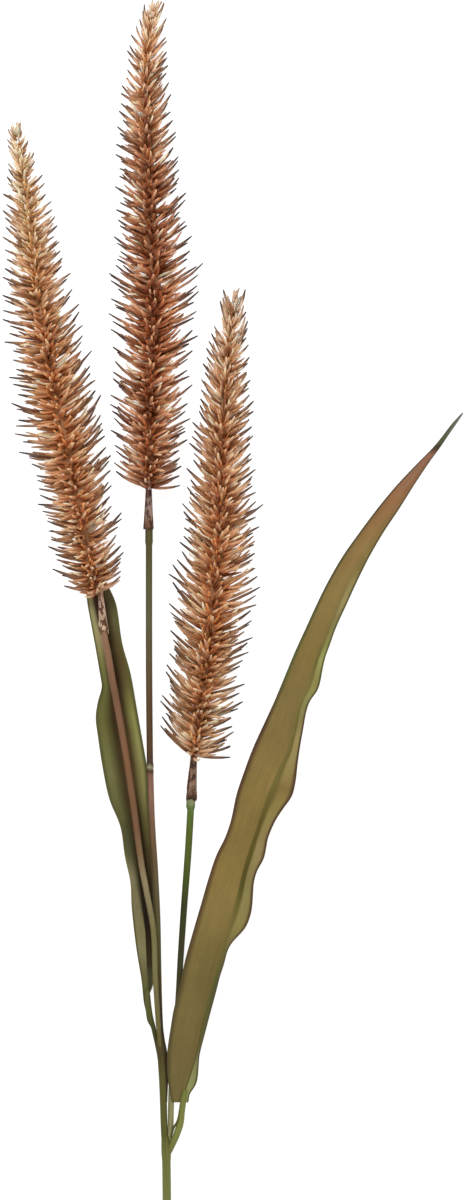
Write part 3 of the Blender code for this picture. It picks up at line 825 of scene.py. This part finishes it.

# %% Print the left leaf, with painted shade in its fold under the stem
left_leaf_finish = leaf_finish(
    "green_blade",
    halves=(
        ((0, (96, 98, 50)), (0.05, (106, 107, 57)), (0.1, (117, 110, 68)), (0.14, (144, 136, 96)),
         (0.19, (136, 126, 84)), (0.25, (134, 126, 88)), (0.3, (136, 128, 92)),
         (0.345, (92, 92, 60)), (0.4, (86, 86, 52)), (0.45, (101, 99, 56)), (0.51, (116, 114, 68)),
         (0.63, (110, 108, 56)), (0.74, (127, 127, 72)), (0.8, (159, 152, 103)),
         (0.86, (168, 164, 117)), (1, (157, 150, 107))),
        # From 0.116 to 0.3 the right half is painted near-black brown: painted shade in the narrow
        # lower fold.
        ((0, (96, 98, 50)), (0.05, (100, 96, 52)), (0.062, (70, 66, 42)), (0.104, (66, 62, 38)),
         (0.116, (54, 45, 16)), (0.15, (46, 34, 6)), (0.2, (36, 19, 3)), (0.26, (48, 34, 12)),
         (0.3, (64, 50, 22)), (0.36, (82, 70, 38)), (0.42, (111, 105, 57)), (0.48, (141, 134, 82)),
         (0.55, (155, 150, 90)), (0.64, (147, 147, 80)), (0.7, (108, 98, 52)),
         (0.757, (90, 74, 38)), (0.80, (90, 78, 44)), (0.84, (98, 92, 58)), (1, (94, 88, 54)))),
    # Painted shade: the dark bands beside the midrib, widening up the leaf, stand for the fold's
    # shade and the stem's shadow in it.
    midrib_and_shade_stops=(
        ((0, (90, 90, 46)), (0.09, (84, 78, 46)), (0.12, (54, 44, 16)), (0.155, (44, 32, 4)),
         (0.2, (26, 13, 2)), (0.3, (40, 30, 6)), (0.374, (58, 45, 18)), (0.5, (72, 58, 28)),
         (0.63, (58, 42, 14)), (0.72, (68, 48, 20)), (0.765, (104, 88, 52)), (0.8, (150, 138, 98)),
         (0.818, (124, 102, 70)), (0.836, (64, 40, 20)), (0.95, (66, 42, 22)), (1, (60, 48, 22))),
        ((0, (90, 90, 46)), (0.062, (78, 73, 46)), (0.104, (76, 71, 43)), (0.116, (54, 44, 16)),
         (0.155, (44, 32, 4)), (0.2, (26, 13, 2)), (0.3, (42, 26, 4)), (0.374, (44, 34, 10)),
         (0.44, (66, 54, 24)), (0.5, (92, 76, 40)), (0.63, (84, 68, 34)), (0.72, (52, 34, 10)),
         (0.8, (56, 42, 14)), (1, (60, 46, 20)))),
    midrib_and_shade_widths=((0.07, 0.33), (0.10, 0.36)), widening=(0.185, 0.285),
    edge_stops=((0.0, (84, 84, 40)), (0.2, (84, 78, 42)), (0.3, (134, 124, 84)),
                (0.36, (96, 90, 50)), (0.5, (84, 84, 46)), (0.7, (90, 88, 44)),
                (1.0, (98, 94, 54))),
    edge_widths=(0.09, 0.10))
hand_over(left_leaf, "left_leaf_blade", left_leaf_finish, "olive_leaf", "left_leaf")

# %% [markdown]
# Under its foot each leaf has a short wired stalk that plugs into the spray. A stalk could be left
# out where its leaf hides it, but then the leaf would hang in the air when it is seen from the
# side. Both are drawn like the stems, and so is the strand that is torn off the right leaf's foot.

# %% The stalks of the leaves
stalk_finish = stem_finish(
    "leaf_stalk_green", -270, -180, (-264, (112, 114, 58)), (-250, (126, 130, 66)),
    (-232, (118, 122, 60)), (-215, (88, 84, 40)), (-205, (66, 62, 28)), (-196, (82, 84, 38)),
    (-184, (92, 92, 46)))
right_stalk = draw_tube((
    (-24.3, -230.5, 3.6, 1.0), (-25.0, -234, 3.4, 1.5), (-26.0, -240, 3.3, 1.6),
    (-27.1, -248, 3.5, 1.75), (-29.4, -254.5, 3.7, 1.7), (-31.8, -260, 3.4, 1.5),
    (-33.6, -264, 3.0, 1.2)))
hand_over(right_stalk, "right_leaf_stalk", stalk_finish, "green_stem")
tendril = draw_tube((
    (-26.8, -239, 3.4, 0.5), (-27.6, -243.5, 4.4, 0.55), (-28.4, -246.5, 4.6, 0.6),
    (-30.2, -249.5, 4.0, 0.6), (-31.6, -254, 3.2, 0.5)))
hand_over(tendril, "torn_leaf_strand", main_finish, "green_stem")
left_stalk = draw_tube((
    (-43.4, -180.5, 2.8, 1.0), (-43.3, -184, 2.9, 1.45), (-42.8, -190, 3.1, 1.6),
    (-41.9, -195.5, 3.2, 1.7), (-40.6, -198.8, 3.2, 1.2), (-39.4, -204, 3.3, 1.15),
    (-38.4, -209, 3.5, 1.05), (-37.4, -215, 3.7, 0.9)))
hand_over(left_stalk, "left_leaf_stalk", stalk_finish, "green_stem")

# %% [markdown]
# ## Bristles
#
# A head is a thin core with more than a thousand moulded bristles in whorls, which lean up and
# outwards. Hair or particles would be quick, but they are not a mesh. So one bristle is modelled,
# from a cone with five sides, and copied into a single mesh with a little luck in the length,
# lean, curl and thickness of each copy.


# %% Model one bristle with three curls
BRISTLE_LENGTH = 20 * MM
BRISTLE_CUTS = 3


def along_table(table, share):
    """A number read off a table of (share of the length, number) rows."""
    return float(np.interp(share, *zip(*table)))


def model_bristle(curl):
    """A bristle along Z, with five rings, bowed along X by a quarter of curl in millimetres."""
    bpy.ops.object.select_all(action="DESELECT")
    bpy.ops.mesh.primitive_cone_add(
        vertices=5, radius1=0.64 * MM, radius2=0.64 * MM, depth=BRISTLE_LENGTH,
        end_fill_type="TRIFAN", location=(0.0, 0.0, BRISTLE_LENGTH / 2))
    bristle = bpy.context.object
    bpy.ops.object.transform_apply(location=True)
    cut_rings(bristle, BRISTLE_LENGTH / 2, BRISTLE_CUTS)
    for point in bristle.data.vertices:
        share = point.co.z / BRISTLE_LENGTH
        fullness = along_table(
            ((0.0, 0.8), (0.25, 1.0), (0.5, 1.0), (0.75, 0.86), (1.0, 0.38)), share)
        point.co.x = point.co.x * fullness + curl * MM * (share ** 2 - share)
        point.co.y *= 1.1 * fullness
    return bristle


def read_bristle(bristle):
    """A bristle as (line through its middle, offsets from that line, share along it, faces)."""
    places = np.array([point.co for point in bristle.data.vertices])
    share = places[:, 2] / BRISTLE_LENGTH
    rings = np.round(share, 3)
    middle = np.array([places[rings == ring].mean(axis=0) for ring in rings])
    faces = [tuple(face.vertices) for face in bristle.data.polygons]
    bpy.data.objects.remove(bristle)
    return middle / BRISTLE_LENGTH, places - middle, np.clip(share, 0.0, 1.0), faces


BRISTLES = [read_bristle(model_bristle(curl)) for curl in (5.5, 3.0, 0.5)]
print("one bristle:", len(BRISTLES[0][0]), "points,", len(BRISTLES[0][3]), "faces")

# %% [markdown]
# The bristles' tips lie on the outline of the head. A bristle could be set by its root, but then
# the outline would be hard to steer. So it is set by its tip: how far up the head it ends, and how
# far out. The lean, in degrees from the axis, then gives the place of its root on the core. The
# shape of each head is the frame's own: the line of its axis, and how far its bristles reach at
# each share of the length. Crown is how far the bristles pass the end of the axis, in millimetres.
# Open and slant are degrees of extra lean, all round and to one side. Strays are (share, angle,
# reach, extra lean) of single bristles that stand out, and the last number is how many of the dark
# upright ones, spots of painted shade, are kept.

# %% The heads' axes and outlines
HEADS = {
    "left": {
        "slot": "tan_bristles",
        "axis": ((-68.9, 17.5, 13.5), (-78.3, 65, 16), (-88.6, 115, 17), (-97.2, 165, 16),
                 (-103.4, 215, 12.5), (-108.8, 249, 9.5)),
        "reach": ((0.0, 15.0), (0.14, 18.0), (0.32, 21.0), (0.43, 21.0), (0.54, 19.0), (0.65, 16.2),
                  (0.85, 11.2), (0.95, 6.9), (1.0, 4.4)),
        "leaf_below": 0.16,
        "crown": 4.5,
        "open": 4.0,
        "slant": ((0.0, 1.0), (0.2, 6.0), (0.55, 6.0), (0.8, -4.0), (1.0, -6.0)),
        "strays": (),
        "shade_spots": 0.2,
    },
    "middle": {
        "slot": "brown_bristles",
        "axis": ((-42.7, 70, 13.5), (-41.8, 115, 16), (-40.0, 165, 17.5), (-42.2, 215, 15),
                 (-44.3, 265, 11.5), (-43.3, 290, 9.5), (-39.8, 312.2, 8)),
        "reach": ((0.0, 16.0), (0.16, 18.0), (0.30, 19.5), (0.38, 21.5), (0.47, 19.0), (0.55, 17.2),
                  (0.75, 13.4), (0.88, 10.2), (0.95, 7.6), (1.0, 5.0)),
        "leaf_below": 0.0,
        "crown": 2.6,
        "open": -1.0,
        "slant": ((0.0, -6.0), (0.2, 2.0), (1.0, 2.0)),
        "strays": ((0.465, 90, 25.0, 0.0), (0.41, 90, 22.5, 0.0), (0.446, -90, 22.0, 0.0),
                   (0.43, -90, 21.3, 0.0), (0.037, -90, 16.5, 8.0), (0.0103, 90, 15.7, 17.0)),
        "shade_spots": 0.6,
    },
    "right": {
        "slot": "tan_bristles",
        "axis": ((-20.3, -64, 13), (-13.2, -10, 15.5), (-8.0, 40, 16.7), (-5.8, 90, 15.5),
                 (-2.6, 140, 11.5), (-0.6, 166, 8.5)),
        "reach": ((0.0, 16.0), (0.08, 18.5), (0.20, 18.5), (0.33, 21.0), (0.43, 20.5), (0.55, 18.2),
                  (0.74, 14.4), (0.86, 10.9), (0.95, 8.2), (1.0, 5.4)),
        "leaf_below": 0.0,
        "crown": 5.0,
        "open": -4.0,
        "slant": ((0.0, -9.0), (0.2, -1.0), (1.0, 0.0)),
        "strays": ((0.556, 90, 21.4, 0.0), (0.037, 90, 17.6, 4.0), (0.012, 90, 18.3, 17.0)),
        "shade_spots": 0.6,
    },
}
LEAN_ALONG = ((0.0, 64.0), (0.10, 64.0), (0.40, 63.0), (0.70, 58.0), (0.90, 48.0), (1.0, 30.0))
WHORL_GAP = 4.1 * MM
print("heads:", ", ".join(HEADS))

# %% [markdown]
# On the real heads the bristles stand in whorls, as on a bottle brush. One even ring of them would
# leave the outline thin, so a whorl has several tiers. The first three stand out to both sides and
# make the outline, the next four lie over the top of the head, and the eighth goes all round and
# fills the inside. The last tier, in every third whorl, stands almost upright, and its dark
# bristles are seen end on, as spots of painted shade that stand for the shaded gaps between the
# tufts.

# %% The tiers of a whorl
TIERS = (
    # angles from straight up, their spread, slip along the head in whorls, share of the reach and
    # its spread, extra lean and its spread, share of the bristles that are kept, whorls from one
    # to the next, rows of tints
    ((90, 270), 14, 0.3, 1.00, 0.14, 1, 8, 1.4, 1, (0, 0, 1, 1, 2)),
    ((74, 100, 260, 286), 12, 0.4, 0.84, 0.12, 0, 8, 0.62, 1, (0, 1, 2, 3)),
    ((62, 118, 242, 298), 12, 0.3, 0.66, 0.16, 1, 9, 1.1, 1, (1, 2, 4, 6, 7)),
    ((-40, 40), 12, 0.5, 0.94, 0.05, 19, 8, 0.9, 1, (0, 1, 2, 4)),
    ((-13, 13), 12, 0.5, 0.92, 0.05, 19, 8, 0.9, 1, (3, 4, 5)),
    ((-60, -36, 36, 60), 14, 0.5, 0.68, 0.12, 12, 12, 0.85, 1, (0, 1, 2, 3, 4, 7)),
    ((-12, 12), 14, 0.5, 0.64, 0.12, 12, 12, 0.85, 1, (3, 4, 5)),
    (range(0, 360, 36), 20, 0.4, 0.50, 0.10, 6, 10, 0.9, 1, (2, 3, 4, 5)),
    # the dark upright tier, whose bristles are spots of painted shade
    ((-7, -3, 0, 3, 7), 4, 1.1, 0.99, 0.03, 20, 6, 1.4, 3, (0,)),
)
TINT_ROWS = 8
STRAY_TINTS = (0, 1)
FULL_REACH = 13.5
FEWEST = 0.55
print("a whorl:", len(TIERS), "tiers of bristles")


class Axis:
    """A head's line, read by the distance from its foot."""

    def __init__(self, points):
        self.line = np.array(smooth_line(points, 12))
        steps = np.linalg.norm(np.diff(self.line, axis=0), axis=1)
        self.distances = np.concatenate(([0.0], np.cumsum(steps)))
        self.length = self.distances[-1]

    def point(self, distance):
        return np.array([np.interp(distance, self.distances, part) for part in self.line.T])

    def frame(self, distance):
        """(point, forwards, upwards, sideways) at a distance, straight on past either end."""
        inside = min(max(distance, 0.0), self.length)
        ahead = self.point(min(inside + 2 * MM, self.length))
        forwards = ahead - self.point(max(inside - 2 * MM, 0.0))
        forwards /= np.linalg.norm(forwards)
        sideways = np.cross(forwards, (0.0, 0.0, 1.0))
        sideways /= np.linalg.norm(sideways)
        upwards = np.cross(sideways, forwards)
        return self.point(inside) + forwards * (distance - inside), forwards, upwards, sideways


# %% [markdown]
# Straight bristles of one thickness would look stiff. So each one bows towards the head's tip,
# sways a little to one side and is thicker when it is longer. A bristle under the head would pass
# through the table, so its points are pressed flat on it, or on the leaf. Its chart is written with
# it, with margins that keep the rows of tints apart: the deeper it sits, the less of the dark tip's
# colour it gets, and the more upright it stands, the paler it stays, which is painted light from
# above.

# %% Set one bristle
LOWEST_ROOT = 0.4 * MM
ROOT_BELOW_TOP = 2.0 * MM
ROOT_RADIUS = 0.8 * MM
SWAY = 0.8
THICKNESS = (1.02, 1.36)
THICK_REACH = 15 * MM
LEAF_REST = 1.8 * MM
PRESSED = 1.2 * MM
# How much of the dark tip an upright bristle loses: painted light from above.
UPRIGHT_PAINTED_LIGHT = 0.40
# The tone of the painted shade spots, near the dark root colour.
SHADE_SPOT_TONE = 0.15
CROWN_TONE = ((0.93, 0.0), (1.0, 0.8))
HEAD_MARGIN, HEAD_PART, FACE_SHIFT = 0.02, 0.955, 0.005
ROW_MARGIN, ROW_PART = 0.06, 0.88


def set_bristle(head, axis, dice, tip, angle, out, extra_lean, share_out, tints):
    """A bristle with its tip at a distance along the axis, out from it at an angle.

    Comes back as (points, chart, faces), or as nothing if its root would lie off the head's foot.
    """
    share = tip / axis.length
    lean = along_table(LEAN_ALONG, share) + head["open"] + extra_lean
    lean = math.radians(lean - along_table(head["slant"], share) * math.sin(angle))
    root = min(tip - out / math.tan(lean), axis.length - ROOT_BELOW_TOP)
    if root < LOWEST_ROOT:
        return None
    foot, forwards, upwards, sideways = axis.frame(root)
    radial = upwards * math.cos(angle) + sideways * math.sin(angle)
    end = axis.frame(tip)[0] + radial * out
    start = foot + radial * ROOT_RADIUS
    reach = np.linalg.norm(end - start)
    straight = (end - start) / reach
    curl_to = forwards - straight * forwards.dot(straight)
    curl_to /= np.linalg.norm(curl_to)
    across = np.cross(straight, curl_to)
    sway = dice.uniform(-SWAY, SWAY)
    curl_to, across = (curl_to * math.cos(sway) + across * math.sin(sway),
                       across * math.cos(sway) - curl_to * math.sin(sway))
    turned = np.stack([curl_to, across, straight], axis=1)
    middle, skin, shares_along, shape = BRISTLES[dice.randrange(3)]
    thickness = dice.uniform(*THICKNESS) * (0.4 + 0.68 * min(reach / THICK_REACH, 1.0))
    points = start + (middle * reach + skin * thickness) @ turned.T
    rest = LEAF_REST if share < head["leaf_below"] else 0.0
    low = points[:, 2] < rest + PRESSED
    points[low, 2] = rest + PRESSED * np.exp((points[low, 2] - rest - PRESSED) / PRESSED)
    row = dice.choice(tints)
    # Painted light: the more upright a bristle points, the less of its dark tip it gets, as if lit
    # from above.
    tone = min(share_out, 1.0) ** 1.4 - UPRIGHT_PAINTED_LIGHT * max(0.0, math.cos(angle)) ** 2
    # Painted shade: the one-tint tier takes a tone near the dark root, for its spots.
    tone = SHADE_SPOT_TONE if len(tints) == 1 else max(tone, along_table(CROWN_TONE, share))
    along_head = HEAD_MARGIN + HEAD_PART * min(max(share, 0.0), 1.0)
    along_head = along_head + FACE_SHIFT * (skin[:, 1] > 0.0)
    along_bristle = (row + ROW_MARGIN + ROW_PART * shares_along * tone) / TINT_ROWS
    return points, np.stack([along_head, along_bristle], axis=1), shape


# %% Set the bristles of a head, and join them in one mesh
def set_bristles(head, axis, dice):
    """Every bristle of a head, whorl by whorl from its tip to its foot, and then the strays."""
    top = axis.length + head["crown"] * MM
    for whorl in range(int((top - 1.0 * MM) / WHORL_GAP) + 1):
        for angles, spread, slip, share_out, uneven, tilt, loose, kept, apart, tints in TIERS:
            for middle_angle in angles if whorl % apart == apart - 1 else ():
                lag = 0.5 * (math.sin(math.radians(middle_angle)) < 0.0)
                tip = top - (whorl + lag + dice.uniform(-slip, slip)) * WHORL_GAP
                tip = min(max(tip, 0.5 * MM), top)
                angle = math.radians(middle_angle + dice.uniform(-spread, spread))
                most = along_table(head["reach"], tip / axis.length)
                # The every-third-whorl tier is the dark upright one; a head keeps its own share of
                # these painted shade spots.
                shade_spots = head["shade_spots"] if apart > 1 else 1.0
                if dice.random() > kept * shade_spots * min(max(most / FULL_REACH, FEWEST), 1.0):
                    continue
                out = most * MM * share_out * dice.uniform(1.0 - uneven, 1.0 + uneven)
                extra_lean = tilt + dice.uniform(-loose, loose)
                yield set_bristle(head, axis, dice, tip, angle, out, extra_lean, share_out, tints)
    for share, angle, out, extra_lean in head["strays"]:
        yield set_bristle(head, axis, dice, share * axis.length, math.radians(angle), out * MM,
                          extra_lean, 1.0, STRAY_TINTS)


def join_coat(name, head, seed):
    """One mesh of a head's bristles, charted by place along the head and along the bristle."""
    dice = random.Random(seed)
    bristles = [bristle for bristle in set_bristles(head, Axis(head["axis"]), dice) if bristle]
    faces, count = [], 0
    for points, _, shape in bristles:
        faces.extend(tuple(count + i for i in face) for face in shape)
        count += len(points)
    mesh = bpy.data.meshes.new(name)
    mesh.from_pydata(np.concatenate([points for points, _, _ in bristles]).tolist(), [], faces)
    chart = mesh.uv_layers.new(name="OFBake")
    corners = np.empty(len(mesh.loops), dtype=np.int64)
    mesh.loops.foreach_get("vertex_index", corners)
    charts = np.concatenate([part for _, part, _ in bristles])
    chart.data.foreach_set("uv", charts[corners].astype(np.float32).ravel())
    mesh.shade_smooth()
    coat = bpy.data.objects.new(name, mesh)
    bpy.context.scene.collection.objects.link(coat)
    print(f"{name}: {len(bristles)} bristles, {len(mesh.polygons)} faces")
    return coat


# %% [markdown]
# The bristles are a tinted, slightly clear plastic. A bristle is warm brown at its root, paler in
# its middle and, on the outline of the head, dark grey-olive at its tip. Those that sit deep keep
# the pale colour, and so do the upright ones, as painted light from above. The palest rows also get
# a painted highlight, a cream glint over their middles. The head's own colour also changes, from
# brown at its foot to tan at its tip. A material for each bristle would say this too, but there
# would be thousands of them. So the UV map holds it: U is the place along the head, and V the place
# along the bristle, in eight rows of tints from dark to pale, and each tier of bristles picks from
# rows of its own.


# %% Mix the bristles' finish
def bristle_finish(name, roots, bodies, tips):
    """Three colour ramps along the head, blended along each bristle, with a tint for each row."""
    finish = Finish(name, 0.34, specular=0.5)
    finish.shader.inputs["Subsurface Weight"].default_value = 0.7
    finish.shader.inputs["Subsurface Radius"].default_value = (1.0, 0.7, 0.48)
    finish.shader.inputs["Subsurface Scale"].default_value = 1.5 * MM
    _, along_head, packed = finish.on_piece("OFBake")
    rows = finish.math("MULTIPLY", packed, float(TINT_ROWS))
    along = finish.math("FRACT", rows)
    row = finish.math("DIVIDE", finish.math("FLOOR", rows), float(TINT_ROWS - 1))
    root, body, tip = (finish.ramp(along_head, *stops) for stops in (roots, bodies, tips))
    colour = finish.mix(finish.span(along, 0.06, 0.42), root, body)
    colour = finish.mix(finish.span(along, 0.54, 0.86), colour, tip)
    tint = finish.ramp(
        row, (0.0, (150, 122, 98)), (0.14, (192, 170, 148)), (0.28, (216, 200, 184)),
        (0.43, (228, 218, 210)), (0.57, (242, 234, 228)), (0.71, (250, 246, 240)),
        (0.86, (255, 255, 255)), (1.0, (255, 252, 246)))
    # Painted highlight: on the palest rows a cream glint is laid over the middle of each bristle.
    glint = finish.ramp(
        row, (0.0, (0, 0, 0)), (0.80, (0, 0, 0)), (0.86, (200, 200, 200)), (1.0, (255, 255, 255)))
    glint = finish.mix(1.0, glint, finish.span(along, 0.62, 0.45), "MULTIPLY")
    colour = finish.mix(glint, colour, (*linear(255, 230, 202), 1.0))
    finish.colour(finish.mix(1.0, colour, tint, "MULTIPLY"))
    return finish.material


# %% [markdown]
# The heads could share one plastic, but the middle one is clearly the darkest, and each turns paler
# in a way of its own towards its tip. So each has three rows of colours: for the roots, the bodies
# and the tips of its bristles. The seed fixes the luck of a head, so that it comes out the same
# each time.

# %% Dress the three heads
COATS = {
    "left": (
        11, "tan_bristle_plastic",
        ((0.0, (237, 168, 110)), (0.35, (254, 181, 116)), (0.6, (235, 166, 104)),
         (0.8, (254, 210, 148)), (1.0, (245, 204, 148))),
        ((0.0, (237, 201, 167)), (0.5, (244, 201, 160)), (0.75, (255, 223, 190)),
         (1.0, (255, 242, 216))),
        ((0.0, (78, 68, 55)), (0.5, (77, 63, 48)), (0.75, (97, 80, 60)), (0.95, (124, 106, 80)),
         (1.0, (136, 114, 86)))),
    "middle": (
        12, "brown_bristle_plastic",
        ((0.0, (213, 134, 76)), (0.3, (210, 126, 71)), (0.5, (195, 113, 61)),
         (0.65, (181, 106, 57)), (0.8, (226, 154, 94)), (1.0, (248, 189, 120))),
        ((0.0, (243, 198, 164)), (0.3, (245, 191, 151)), (0.5, (228, 173, 135)),
         (0.65, (219, 167, 128)), (0.8, (253, 211, 175)), (1.0, (255, 230, 203))),
        ((0.0, (65, 57, 45)), (0.5, (58, 48, 38)), (0.8, (79, 66, 52)), (1.0, (103, 89, 68)))),
    "right": (
        13, "light_brown_bristle_plastic",
        ((0.0, (250, 187, 126)), (0.3, (255, 179, 112)), (0.6, (243, 166, 108)),
         (0.8, (243, 177, 119)), (1.0, (239, 189, 133))),
        ((0.0, (241, 214, 182)), (0.5, (241, 199, 159)), (0.75, (250, 213, 176)),
         (1.0, (255, 233, 211))),
        ((0.0, (80, 72, 58)), (0.5, (72, 61, 48)), (0.75, (84, 71, 55)), (0.92, (98, 84, 64)),
         (0.99, (70, 56, 44)))),
}
for side, (seed, plastic, *colours) in COATS.items():
    coat = join_coat(side + "_bristles", HEADS[side], seed)
    coat_finish = bristle_finish(plastic, *colours)
    hand_over(coat, side + "_bristles", coat_finish, HEADS[side]["slot"], side + "_spike")

# %% [markdown]
# The feet of the bristles are moulded together round the core, so that the middle of a head is
# dense and the table doesn't show through it. More bristles could fill it, but only their colour
# would ever be seen. A tube along the axis, thickest below the middle, stands in for them.

# %% The cores inside the heads
CORE_ROWS = 25
CORE_END = 0.95
CORE_TONES = {
    "left": ((162, 116, 78), (191, 145, 103)),
    "middle": ((139, 91, 61), (173, 125, 89)),
    "right": ((162, 118, 80), (180, 138, 100)),
}


def fill_core(head):
    """The mass of bristle feet that fills the middle of a head, and stops short of its tip."""
    shares_up = np.linspace(0.0, 1.0, CORE_ROWS)
    radii = np.interp(shares_up, (0.0, 0.04, 0.35, 0.7, 1.0), (1.4, 3.2, 3.8, 2.6, 1.0))
    line = smooth_line(head["axis"], 12)
    picked = np.linspace(0, CORE_END * len(line), CORE_ROWS).round().astype(int)
    return draw_tube([(*(line[i] / MM), radius) for i, radius in zip(picked, radii)], steps=2)


for side, head in HEADS.items():
    foot, top = head["axis"][0][1], head["axis"][-1][1]
    low_tone, high_tone = CORE_TONES[side]
    core_finish = stem_finish(side + "_core_brown", foot, top, (foot, low_tone), (top, high_tone))
    hand_over(fill_core(head), side + "_head_core", core_finish, head["slot"])
